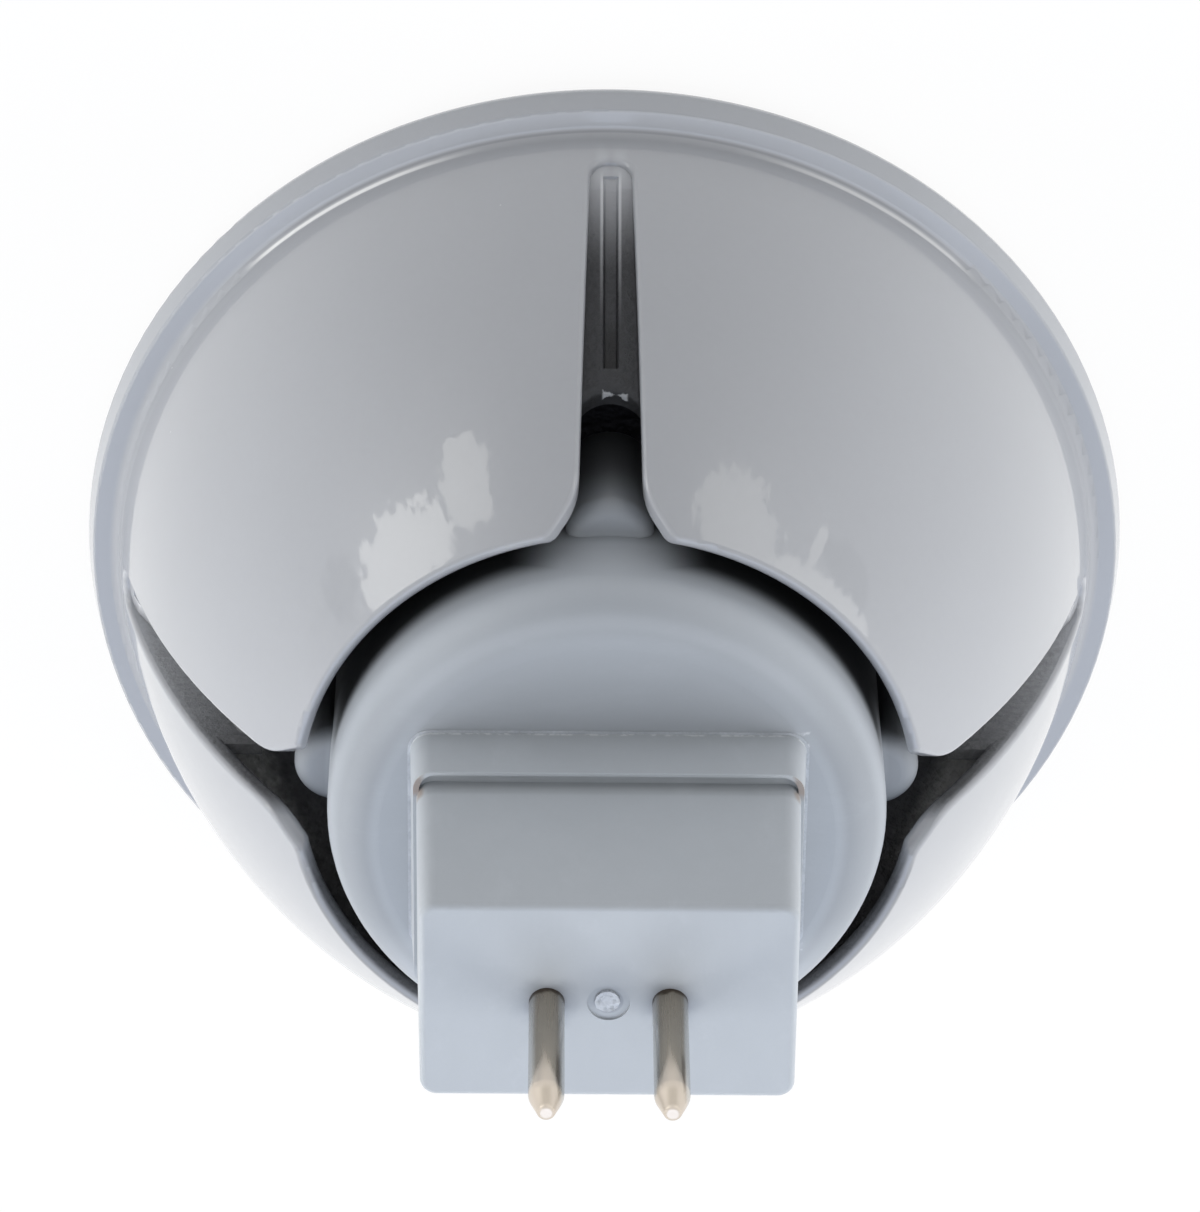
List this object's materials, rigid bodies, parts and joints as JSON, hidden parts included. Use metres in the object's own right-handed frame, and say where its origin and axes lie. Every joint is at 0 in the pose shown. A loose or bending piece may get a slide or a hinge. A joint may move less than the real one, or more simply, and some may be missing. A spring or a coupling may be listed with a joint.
{
  "type": "led spotlight bulb",
  "caption": "Grey reflector-size LED spotlight bulb with a petal-shaped slotted bell, a round driver housing and a rectangular two-pin base.",
  "frame": {"origin": "middle of the plane of the front rim, which the lamp stands on", "axes": "+Z along the lamp's axis from the rim to the contact pins, +X along the line through both pins, -Y and +Y out of the broad faces of the base"},
  "size_m": [0.05, 0.05, 0.0458],
  "materials": {
    "shell_lacquer": "gloss grey lacquer",
    "housing_plastic": "satin grey",
    "pin_metal": "polished, nickel plated",
    "lens_clear": "clear, polished",
    "led_ceramic": "matte white",
    "led_phosphor": "glossy yellow",
    "led_board_white": "white solder mask",
    "pad_grey": "matte",
    "sink_metal": "black anodised",
    "screw_steel": "zinc plated",
    "board_green": "solder mask",
    "ferrite": "matte",
    "copper": "enamelled wire",
    "capacitor_sleeve": "shrink sleeve",
    "chip_black": "matte",
    "chip_tan": "matte",
    "lead_black": "matte",
    "lead_red": "matte"
  },
  "bodies": {
    "root": {"petal_shell": "shell_lacquer", "front_lens": "lens_clear", "led_packages": "led_ceramic", "led_domes": "led_phosphor", "led_board": "led_board_white", "thermal_pad": "pad_grey", "heat_sink": "sink_metal", "assembly_screws": "screw_steel", "driver_cup": "housing_plastic", "base_plug": "housing_plastic", "contact_pin_left": "pin_metal", "contact_pin_right": "pin_metal", "driver_board": "board_green", "choke_core": "ferrite", "choke_winding": "copper", "input_capacitor": "capacitor_sleeve", "output_capacitor": "capacitor_sleeve", "rectifier": "chip_black", "driver_chip": "chip_black", "small_chips": "chip_tan", "led_lead_negative": "lead_black", "led_lead_positive": "lead_red"}
  },
  "joints": []
}
